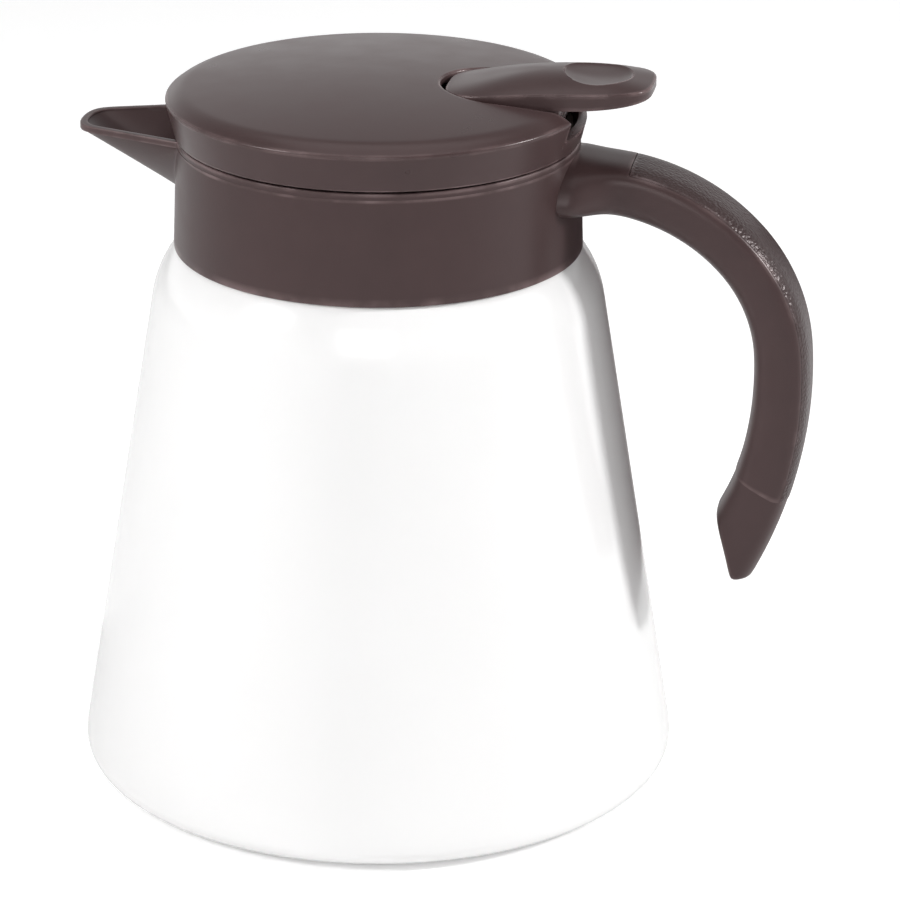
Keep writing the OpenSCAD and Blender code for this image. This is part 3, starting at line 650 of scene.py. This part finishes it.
def lid_band(s, theta, outer, inner):
    """The unbroken wall below the notch: columns above match the slotted part, and the rest close the circle."""
    a0 = theta[0]
    n_gap = 40
    gap = np.linspace(-a0, a0, n_gap + 2)[1:-1]
    ang = np.concatenate([theta, gap + 2 * np.pi])
    z0 = s["lid_z0"]
    down = spaced(np.array([outer, [44.75, z0 + 0.35]]), 0.7)[1:]
    foot = rounded([[44.75, z0 + 0.35], [44.7, z0], [42.8, z0]], [0.3], 5)[1:-1]
    inside = np.array([[43.2, z0], [42.9, z0 + 0.2], [42.3, 148.1], [42.3, 148.5], [42.8, 148.75], [42.85, 150.0]])
    rows = np.concatenate([[outer], down, foot, inside, [inner]])
    grid = polar(rows[:, :1], ang, rows[:, 1:])
    n, k = grid.shape[:2]
    faces = list(grid_faces(n, k))
    # floor of the notch, between the top and the bottom row, over the columns of the gap
    j = np.concatenate([[len(theta) - 1], np.arange(len(theta), k), [0]])
    floor = np.stack([j[:-1], j[1:], (n - 1) * k + j[1:], (n - 1) * k + j[:-1]], 1)
    return grid.reshape(-1, 3), faces + list(floor)


def cheek_shape(s, side):
    """A plate beside the slot that holds the lever's pin, its top following the underside of the dome."""
    x = np.linspace(25.2, 43.0, 24)
    y0, y1 = side * (s["slot_half_w"] + 0.02), side * (s["slot_half_w"] + 1.7)
    top = dome_z(np.hypot(x, y1), s) - 1.2 - 1.6 * smooth_step((x - 38) / 5)
    low = np.full_like(x, 150.15)
    lines = [(y0, low), (y0, top), (y1, top), (y1, low)]
    return loft(np.stack([np.stack([x, y + 0 * x, z], 1) for y, z in lines], 1))


# Lever

OVAL = 3.6


def lever_edge_z(x, s):
    """Height of the lever's top edge at place x: a smooth curve through seven values."""
    p = (x - s["lever_front"]) / (s["lever_back"] - s["lever_front"])
    fit = np.polyfit(np.linspace(0, 1, 7), [159.5, 159.7, 160.5, 161.1, 161.45, 161.75, 161.9], 5)
    return np.polyval(fit, p)


def lever_crown(x, s):
    """Height of the crown over the edge at place x."""
    p = (x - s["lever_front"]) / (s["lever_back"] - s["lever_front"])
    return np.polyval(np.polyfit([0, 0.5, 1], [2.1, 2.72, 2.85], 2), p)


def dish_share(x, y):
    """1 in the middle of the thumb dish, 0 on its oval edge and below 0 outside."""
    return 1 - ((x - 48.4) / 7.4) ** 2 - (y / 8.6) ** 2


def lever_low_z(x):
    """Height of the lever's underside: deep in the slot, then a little higher, and rising to the thumb end."""
    return 156.4 + 1.3 * np.clip((x - 32) / 6.5, 0, 1) + 2 * np.clip((x - 39) / 21, 0, None) ** 2


def lever_shape(s):
    """The lever's paddle: a full oval, |x|^3.6 + |y|^3.6 = 1, drawn as rings from the middle out. Its top is the
    edge's height plus a crown times 1 - q^2.2, less the dish 1.7 share^0.7; the sides are upright walls, and there
    is a hollow under the front."""
    mid = (s["lever_front"] + s["lever_back"]) / 2
    half_l, half_w = (s["lever_back"] - s["lever_front"]) / 2, s["lever_half_w"]
    a = np.linspace(0, 2 * np.pi, 360, endpoint=False)
    ux, uy = signed_power(np.cos(a), 2 / OVAL), signed_power(np.sin(a), 2 / OVAL)

    def xy(q):
        return mid + half_l * q * ux, half_w * q * uy

    def top(q, x, y):
        dish = 1.7 * np.clip(dish_share(x, y), 0, None) ** 0.7
        return lever_edge_z(x, s) + lever_crown(x, s) * (1 - q ** 2.2) - dish

    def ring(q, z):
        x, y = xy(q)
        return np.stack([x, y, z(x, y)], -1)

    rows = [ring(q, lambda x, y, q=q: top(q, x, y)) for q in
            np.concatenate([[0.003], np.linspace(0.02, 0.95, 110), [0.965, 0.975]])]
    rim, round_h = 0.975, 0.45
    for b in np.radians([22, 45, 68, 90]):
        q = rim + (1 - rim) * math.sin(b)
        rows.append(ring(q, lambda x, y, b=b: top(rim, x, y) - round_h * (1 - math.cos(b))))
    low_edge = rows[-1][:, 2]
    for t in (0.25, 0.5, 0.75, 0.95):
        rows.append(ring(1.0, lambda x, y, t=t: low_edge + (lever_low_z(x) + 0.15 - low_edge) * t))
    rows.append(ring(0.995, lambda x, y: lever_low_z(x) + 0.03))
    rows += [ring(q, lambda x, y: lever_low_z(x)) for q in (0.985, *np.linspace(0.97, 0.88, 6))]
    rows += [ring(q, lambda x, y: np.where(x < 33.7, 158.6, lever_low_z(x))) for q in np.linspace(0.87, 0.03, 70)]
    rows.append(ring(0.003, lambda x, y: lever_low_z(x)))
    return loft(rows)


def rod_shape(x, z, r, y0, y1, n=48):
    """A round bar along Y with small chamfers at its ends."""
    a = np.linspace(0, 2 * np.pi, n, endpoint=False)
    return loft([np.stack([x + q * np.cos(a), np.full(n, y), z + q * np.sin(a)], -1)
                 for y, q in ((y0, r - 0.2), (y0 + 0.2, r), (y1 - 0.2, r), (y1, r - 0.2))])


# Finishes


def new_group(name, inputs, outputs):
    """An empty shader node group with named float sockets."""
    group = bpy.data.node_groups.new(name, "ShaderNodeTree")
    for label, default in inputs:
        socket = group.interface.new_socket(label, in_out="INPUT", socket_type="NodeSocketFloat")
        socket.default_value = default
    for label in outputs:
        group.interface.new_socket(label, in_out="OUTPUT", socket_type="NodeSocketFloat")
    return group, group.nodes.new("NodeGroupInput"), group.nodes.new("NodeGroupOutput")


def feed(tree, value, socket):
    """Links an output to a socket, or sets a plain number on it."""
    if isinstance(value, (int, float)):
        socket.default_value = value
    else:
        tree.links.new(value, socket)


def math_node(tree, operation, a, b=None):
    """The result of a math node on sockets or plain numbers."""
    node = tree.nodes.new("ShaderNodeMath")
    node.operation = operation
    feed(tree, a, node.inputs[0])
    if b is not None:
        feed(tree, b, node.inputs[1])
    return node.outputs[0]


def span(tree, value, low, high, start=0.0, stop=1.0):
    """A value between start and stop stretched over low to high."""
    node = tree.nodes.new("ShaderNodeMapRange")
    for label, given in (("Value", value), ("From Min", start), ("From Max", stop), ("To Min", low), ("To Max", high)):
        feed(tree, given, node.inputs[label])
    return node.outputs["Result"]


def object_place(tree):
    """Position in the object's own space."""
    return tree.nodes.new("ShaderNodeTexCoord").outputs["Object"]


def noise(tree, where, scale, detail=2.0):
    """A noise pattern at a position."""
    node = tree.nodes.new("ShaderNodeTexNoise")
    for label, given in (("Vector", where), ("Scale", scale), ("Detail", detail)):
        feed(tree, given, node.inputs[label])
    return node.outputs["Fac"]


def grain_group():
    """Moulded grain: fine cells over a coarser unevenness, both in the object's own millimetres."""
    group, inp, out = new_group(
        "Moulded grain", [("Cell size mm", 0.35), ("Unevenness mm", 9.0), ("Cells", 0.7)], ["Height", "Unevenness"])
    where = object_place(group)
    cell_scale = math_node(group, "DIVIDE", PER_METRE, inp.outputs["Cell size mm"])
    wide_scale = math_node(group, "DIVIDE", PER_METRE, inp.outputs["Unevenness mm"])
    cells = group.nodes.new("ShaderNodeTexVoronoi")
    cells.feature = "SMOOTH_F1"
    cells.inputs["Smoothness"].default_value = 0.6
    feed(group, where, cells.inputs["Vector"])
    feed(group, cell_scale, cells.inputs["Scale"])
    fine = noise(group, where, math_node(group, "MULTIPLY", cell_scale, 0.6), 3.0)
    cell_height = math_node(group, "MULTIPLY", cells.outputs["Distance"], inp.outputs["Cells"])
    rest = math_node(group, "SUBTRACT", 1.0, inp.outputs["Cells"])
    height = math_node(group, "ADD", cell_height, math_node(group, "MULTIPLY", fine, rest))
    feed(group, height, out.inputs["Height"])
    feed(group, noise(group, where, wide_scale), out.inputs["Unevenness"])
    return group


def edge_highlight_group():
    """Painted edge highlight: the surface's own edge attribute, broken up by noise along its length, which lightens
    edges as a painted highlight.
    """
    group, inp, out = new_group("Painted edge highlight", [("Length mm", 9.0), ("Break up", 0.42)], ["Mask"])
    edge = group.nodes.new("ShaderNodeAttribute")
    edge.attribute_name = "edge"
    scale = math_node(group, "DIVIDE", PER_METRE, inp.outputs["Length mm"])
    kept = span(group, noise(group, object_place(group), scale, 3.0), 0.12, 1.0, inp.outputs["Break up"], 0.66)
    feed(group, math_node(group, "MULTIPLY", edge.outputs["Fac"], kept), out.inputs["Mask"])
    return group


def new_material(name, rgb, roughness, **sockets):
    """A material with one Principled shader set from plain values; returns it, its tree and the shader."""
    mat = bpy.data.materials.new(name)
    mat.use_nodes = True
    tree = mat.node_tree
    shader = tree.nodes["Principled BSDF"]
    shader.inputs["Base Color"].default_value = (*rgb, 1)
    shader.inputs["Roughness"].default_value = roughness
    for label, value in sockets.items():
        shader.inputs[label.replace("_", " ")].default_value = value
    return mat, tree, shader


def tint(tree, mask, rgb, low, high):
    """The colour scaled between low and high by a mask."""
    mix = tree.nodes.new("ShaderNodeMix")
    mix.data_type = "RGBA"
    feed(tree, mask, mix.inputs["Factor"])
    mix.inputs[6].default_value = (*[c * low for c in rgb], 1)
    mix.inputs[7].default_value = (*[min(1, c * high) for c in rgb], 1)
    return mix.outputs[2]


def add_bump(tree, shader, height, millimetres, strength=1.0):
    """A bump of this depth on the shader's normal."""
    bump = tree.nodes.new("ShaderNodeBump")
    bump.inputs["Strength"].default_value = strength
    bump.inputs["Distance"].default_value = millimetres * MM
    feed(tree, height, bump.inputs["Height"])
    feed(tree, bump.outputs["Normal"], shader.inputs["Normal"])


def by_edge_mask(tree, mask, plain, edge, colour=True):
    """A colour or value that turns to another one by the edge mask."""
    mix = tree.nodes.new("ShaderNodeMix")
    mix.data_type = "RGBA" if colour else "FLOAT"
    feed(tree, mask, mix.inputs["Factor"])
    first, second, result = (6, 7, 2) if colour else (2, 3, 0)
    feed(tree, plain, mix.inputs[first])
    mix.inputs[second].default_value = (*edge, 1) if colour else edge
    return mix.outputs[result]


def plastic(name, rgb, roughness, grain, edge_highlight, cell=0.35, cells=0.7, depth=0.012, spread=0.06, specular=0.36):
    """Moulded plastic: a fine grain in the bump, slow changes of colour and roughness, and smoother edges painted paler
    as a highlight.
    """
    mat, tree, shader = new_material(name, rgb, roughness, Specular_IOR_Level=specular)
    shader.inputs["Specular Tint"].default_value = (1.0, 0.9, 0.9, 1)
    node = tree.nodes.new("ShaderNodeGroup")
    node.node_tree = grain
    node.inputs["Cell size mm"].default_value = cell
    node.inputs["Cells"].default_value = cells
    edge_highlight_node = tree.nodes.new("ShaderNodeGroup")
    edge_highlight_node.node_tree = edge_highlight
    mask, uneven = edge_highlight_node.outputs["Mask"], node.outputs["Unevenness"]
    # painted highlight: edges get a paler colour that stands in for light catching them
    highlight_colour = [c * 2.2 + 0.04 for c in rgb]
    gloss = span(tree, uneven, roughness - spread, roughness + spread)
    feed(tree, by_edge_mask(tree, mask, tint(tree, uneven, rgb, 0.9, 1.1), highlight_colour), shader.inputs["Base Color"])
    feed(tree, by_edge_mask(tree, mask, gloss, roughness - 0.08, False), shader.inputs["Roughness"])
    add_bump(tree, shader, node.outputs["Height"], depth)
    return mat


def paint_finish(name, rgb):
    """Gloss paint on steel: a smooth coat with the faintest unevenness."""
    mat, tree, shader = new_material(name, rgb, 0.3, Specular_IOR_Level=0.2, Coat_Weight=1.0, Coat_Roughness=0.16,
                                     Coat_IOR=1.45)
    where = object_place(tree)
    wide = noise(tree, where, 30)
    feed(tree, tint(tree, wide, rgb, 0.985, 1.01), shader.inputs["Base Color"])
    feed(tree, span(tree, wide, 0.26, 0.34), shader.inputs["Roughness"])
    add_bump(tree, shader, noise(tree, where, 420), 0.004, 0.4)
    return mat


def steel_finish(name, rgb, roughness=0.3):
    """Brushed steel: noise drawn out round the piece, in its colour, roughness and bump."""
    mat, tree, shader = new_material(name, rgb, roughness, Metallic=1.0)
    stretch = tree.nodes.new("ShaderNodeMapping")
    stretch.inputs["Scale"].default_value = (60, 60, 4000)
    feed(tree, object_place(tree), stretch.inputs["Vector"])
    lines = noise(tree, stretch.outputs["Vector"], 1, 4.0)
    feed(tree, span(tree, lines, roughness - 0.1, roughness + 0.12), shader.inputs["Roughness"])
    feed(tree, tint(tree, lines, rgb, 0.88, 1.1), shader.inputs["Base Color"])
    add_bump(tree, shader, lines, 0.003)
    return mat


FINISHES = {}


def finish(key):
    """The finish with this name; all are made on the first call."""
    if not FINISHES:
        c = bpy.context.scene.carafe_colours
        # the edge group paints highlights on the plastics' edges
        grain, edge_highlight = grain_group(), edge_highlight_group()
        FINISHES.update({
            "paint": paint_finish("Gloss paint", c.paint),
            "collar": plastic("Collar plastic", c.collar, 0.36, grain, edge_highlight),
            "lid": plastic("Lid plastic", c.lid, 0.3, grain, edge_highlight, cell=0.3, depth=0.008),
            "cover": plastic("Grained handle cover", c.cover, 0.34, grain, edge_highlight, cell=0.7, cells=0.85, depth=0.2),
            "stopper": plastic("Stopper plastic", c.stopper, 0.4, grain, edge_highlight, cell=0.3, depth=0.006),
            "pad": plastic("Base pad plastic", c.pad, 0.5, grain, edge_highlight, cell=0.5, depth=0.02),
            "silicone": plastic("Silicone", c.silicone, 0.55, grain, edge_highlight, cell=0.6, depth=0.006, specular=0.35),
            "steel": steel_finish("Brushed steel", c.steel),
            "dull_steel": steel_finish("Dull getter metal", (0.25, 0.25, 0.26), 0.45),
        })
    return FINISHES[key]


# Operators


class CARAFE_OT_stage(bpy.types.Operator):
    """Floor, studio light, background and the camera."""

    bl_idname = "carafe.stage"
    bl_label = "Studio"

    def execute(self, context):
        st = context.scene.carafe_studio
        scene = context.scene
        scene.view_settings.view_transform = "Standard"
        self.floor()
        self.room(scene, st)
        self.lamp("Left softbox", (-1.05, -0.8, 1.0), st.left, 0.4)
        self.lamp("Right key", (1.33, 0.16, 0.78), st.right, 0.16)
        self.lamp("Front softbox", (0.1, -1.5, 0.8), st.front, 0.7)
        self.lamp("Top softbox", (0, 0.1, 1.5), st.top, 1.3)
        self.flag()
        data = bpy.data.cameras.new("Camera")
        cam = bpy.data.objects.new("Camera", data)
        scene.collection.objects.link(cam)
        ce = math.cos(st.elevation)
        back = Vector((math.sin(st.azimuth) * ce, -math.cos(st.azimuth) * ce, math.sin(st.elevation)))
        cam.location = Vector((0, 0, st.target_z)) + st.distance * back
        cam.rotation_euler = (-back).to_track_quat("-Z", "Y").to_euler()
        side, focus, axis_x, axis_y = 900, 3880, 378.42, 393.25  # picture side, focal length and aim in pixels
        data.sensor_width = 36
        data.lens = focus / side * data.sensor_width
        data.shift_x = (side / 2 - axis_x) / side
        data.shift_y = (axis_y - side / 2) / side
        data.clip_start, data.clip_end = 0.01, 30
        scene.camera = cam
        return {"FINISHED"}

    def lamp(self, name, place, watts, size):
        data = bpy.data.lights.new(name, "AREA")
        data.energy, data.size = watts, size
        obj = bpy.data.objects.new(name, data)
        obj.location = place
        aim = Vector((0, 0, 0.1)) - Vector(place)
        obj.rotation_euler = aim.to_track_quat("-Z", "Y").to_euler()
        bpy.context.scene.collection.objects.link(obj)

    def sheet(self, name, points, faces, material):
        mesh = bpy.data.meshes.new(name)
        mesh.from_pydata(points, [], faces)
        mesh.materials.append(material)
        obj = bpy.data.objects.new(name, mesh)
        bpy.context.scene.collection.objects.link(obj)
        return obj

    def flag(self):
        """A bowed dark card behind at the right, which only reflections see: it deepens the shell's dark edge."""
        a, radius, low, high = np.radians(np.linspace(19, 66, 13)), 0.108, 0.02, 0.132
        card = polar(radius, a, np.array([[low], [high]]))
        dark = new_material("Dark card", (0.1, 0.07, 0.075), 0.9)[0]
        obj = self.sheet("Flag", card.reshape(-1, 3), grid_faces(2, len(a), wrap_cols=False).tolist(), dark)
        obj.visible_camera = obj.visible_diffuse = obj.visible_shadow = obj.visible_transmission = False

    def mirrored(self, tree, path):
        return math_node(tree, "MAXIMUM", path.outputs["Is Glossy Ray"], path.outputs["Is Transmission Ray"])

    def floor(self):
        radius, below_base = 6, 0.0002
        a = np.linspace(0, 2 * np.pi, 96, endpoint=False)
        ring = polar(radius, a, -below_base)
        mat, tree, shader = new_material("Pale floor", (0.9, 0.9, 0.9), 0.7, Specular_IOR_Level=0.2)
        path = tree.nodes.new("ShaderNodeLightPath")
        faint = math_node(tree, "MULTIPLY", self.mirrored(tree, path), 0.3)
        seen = math_node(tree, "MAXIMUM", path.outputs["Is Camera Ray"], faint)
        feed(tree, math_node(tree, "MULTIPLY", seen, 0.32), shader.inputs["Emission Strength"])
        shader.inputs["Emission Color"].default_value = (1, 1, 1, 1)
        self.sheet("Floor", ring, [list(range(len(a)))], mat)

    def room(self, scene, st):
        """White to the camera; in reflections bright at the horizon and the left, darker above and at the right."""
        world = bpy.data.worlds.new("Studio")
        scene.world = world
        world.use_nodes = True
        tree = world.node_tree
        back = tree.nodes["Background"]
        path = tree.nodes.new("ShaderNodeLightPath")
        aim = tree.nodes.new("ShaderNodeSeparateXYZ")
        feed(tree, tree.nodes.new("ShaderNodeTexCoord").outputs["Generated"], aim.inputs[0])
        wall = span(tree, aim.outputs["Z"], 1.0, 0.3, 0.05, 0.6)
        across = span(tree, aim.outputs["X"], 1.2, 0.8, -0.5, 0.2)
        glow = math_node(tree, "MULTIPLY", math_node(tree, "MULTIPLY", self.mirrored(tree, path), wall), across)
        seen = math_node(tree, "MAXIMUM", path.outputs["Is Camera Ray"], glow)
        back.inputs["Color"].default_value = (1, 1, 1, 1)
        feed(tree, math_node(tree, "MAXIMUM", seen, st.room), back.inputs["Strength"])


class CARAFE_OT_shell(bpy.types.Operator):
    """The painted outer shell, turned from one closed profile."""

    bl_idname = "carafe.shell"
    bl_label = "Shell"

    def execute(self, context):
        s = in_mm(context.scene.carafe_sizes)
        put_mesh("shell_skin", [turned(shell_profile(s))], "jug", ["outer_shell"], finish("paint"))
        return {"FINISHED"}


class CARAFE_OT_collar(bpy.types.Operator):
    """The collar with its pouring spout, its inner thread ridges and the boss for the handle's screws."""

    bl_idname = "carafe.collar"
    bl_label = "Collar and spout"

    def execute(self, context):
        s = in_mm(context.scene.carafe_sizes)
        ridges = [ridge_shape(36.2, 34.7, 121.5, 120 * i + 28.8) for i in range(3)]
        boss = block_shape((38.6, -9, 131.0), (42.6, 9, 143.5))
        put_mesh("collar_skin", [collar_shape(s)], "jug", ["collar"], finish("collar"), sharp=35)
        put_mesh("collar_thread", ridges, "jug", (), finish("collar"))
        put_mesh("collar_boss", [boss], "jug", (), finish("collar"))
        return {"FINISHED"}


class CARAFE_OT_handle(bpy.types.Operator):
    """The handle's body and the grained cover on its outer side."""

    bl_idname = "carafe.handle"
    bl_label = "Handle"

    def execute(self, context):
        s = in_mm(context.scene.carafe_sizes)
        put_mesh("grip_skin", [grip_shape(s)], "jug", ["handle_grip"], finish("collar"), sharp=50)
        put_mesh("cover_skin", [cover_shape(s)], "jug", ["handle_cover"], finish("cover"), sharp=50)
        return {"FINISHED"}


class CARAFE_OT_lid(bpy.types.Operator):
    """The lid's domed cover with the lever's slot, and the cheeks that hold the pin."""

    bl_idname = "carafe.lid"
    bl_label = "Lid"

    def execute(self, context):
        s = in_mm(context.scene.carafe_sizes)
        upper, disc, disc_low, theta, outer, inner = lid_shape(s)
        band = lid_band(s, theta, outer, inner)
        put_mesh("lid_skin", [upper, disc, disc_low, band], "lid", ["lid_cover"], finish("lid"),
                 sharp=35)
        cheeks = [cheek_shape(s, 1), cheek_shape(s, -1)]
        put_mesh("lid_cheeks", cheeks, "lid", (), finish("lid"))
        return {"FINISHED"}


class CARAFE_OT_lever(bpy.types.Operator):
    """The thumb lever: its dished paddle, the lug on the pin and the fork that lifts the valve."""

    bl_idname = "carafe.lever"
    bl_label = "Lever"

    def execute(self, context):
        s = in_mm(context.scene.carafe_sizes)
        put_mesh("lever_paddle", [lever_shape(s)], "lever", ["thumb_lever"], finish("lid"), sharp=45)
        block = block_shape((35.3, -12, 154.3), (41.7, 12, 158.6))
        lug = rod_shape(38.5, 154.3, 3.2, -12.8, 12.8)
        near = block_shape((-1, -6.4, 150.4), (38.5, -2.95, 152.2), 0.3)
        far = block_shape((-1, 2.95, 150.4), (38.5, 6.4, 152.2), 0.3)
        bridge = block_shape((2.95, -3.2, 150.4), (38.5, 3.2, 152.2), 0.3)
        put_mesh("lever_rocker", [block, lug, near, far, bridge], "lever", (), finish("lid"),
                 merge=False)
        return {"FINISHED"}


class CARAFE_OT_fittings(bpy.types.Operator):
    """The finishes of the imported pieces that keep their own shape."""

    bl_idname = "carafe.fittings"
    bl_label = "Fittings"

    def execute(self, context):
        kept = {
            "base_pad": "pad", "base_plate": "steel", "vacuum_seal": "steel", "getter": "dull_steel",
            "inner_flask": "steel", "collar_seal": "silicone", "handle_screws": "steel",
            "stopper_gasket": "silicone", "stopper_body": "stopper", "splash_seal": "silicone",
            "lever_pin": "steel", "stem_seal": "silicone", "valve_spring": "steel", "valve_stem": "steel",
            "valve_disc": "stopper", "valve_gasket": "silicone",
        }
        for node, key in kept.items():
            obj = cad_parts[node]
            obj.data.materials.clear()
            obj.data.materials.append(finish(key))
        return {"FINISHED"}


class CARAFE_PT_panel(bpy.types.Panel):
    """Buttons and sizes of the carafe."""

    bl_idname = "CARAFE_PT_panel"
    bl_label = "Vacuum carafe"
    bl_space_type = "VIEW_3D"
    bl_region_type = "UI"
    bl_category = "Carafe"

    def draw(self, context):
        for operator in OPERATORS:
            self.layout.operator(operator.bl_idname)
        for group in (context.scene.carafe_sizes, context.scene.carafe_colours, context.scene.carafe_studio):
            box = self.layout.box()
            for name in group.__annotations__:
                box.prop(group, name)


OPERATORS = (CARAFE_OT_stage, CARAFE_OT_shell, CARAFE_OT_collar, CARAFE_OT_handle, CARAFE_OT_lid,
             CARAFE_OT_lever, CARAFE_OT_fittings)
CLASSES = (CarafeSizes, CarafeColours, CarafeStudio, *OPERATORS, CARAFE_PT_panel)


def register():
    for cls in CLASSES:
        bpy.utils.register_class(cls)
    bpy.types.Scene.carafe_sizes = PointerProperty(type=CarafeSizes)
    bpy.types.Scene.carafe_colours = PointerProperty(type=CarafeColours)
    bpy.types.Scene.carafe_studio = PointerProperty(type=CarafeStudio)


def unregister():
    del bpy.types.Scene.carafe_sizes, bpy.types.Scene.carafe_colours, bpy.types.Scene.carafe_studio
    for cls in reversed(CLASSES):
        bpy.utils.unregister_class(cls)


def main():
    """Builds everything in order."""
    register()
    for operator in OPERATORS:
        group, name = operator.bl_idname.split(".")
        getattr(getattr(bpy.ops, group), name)()


if __name__ == "__main__":
    main()
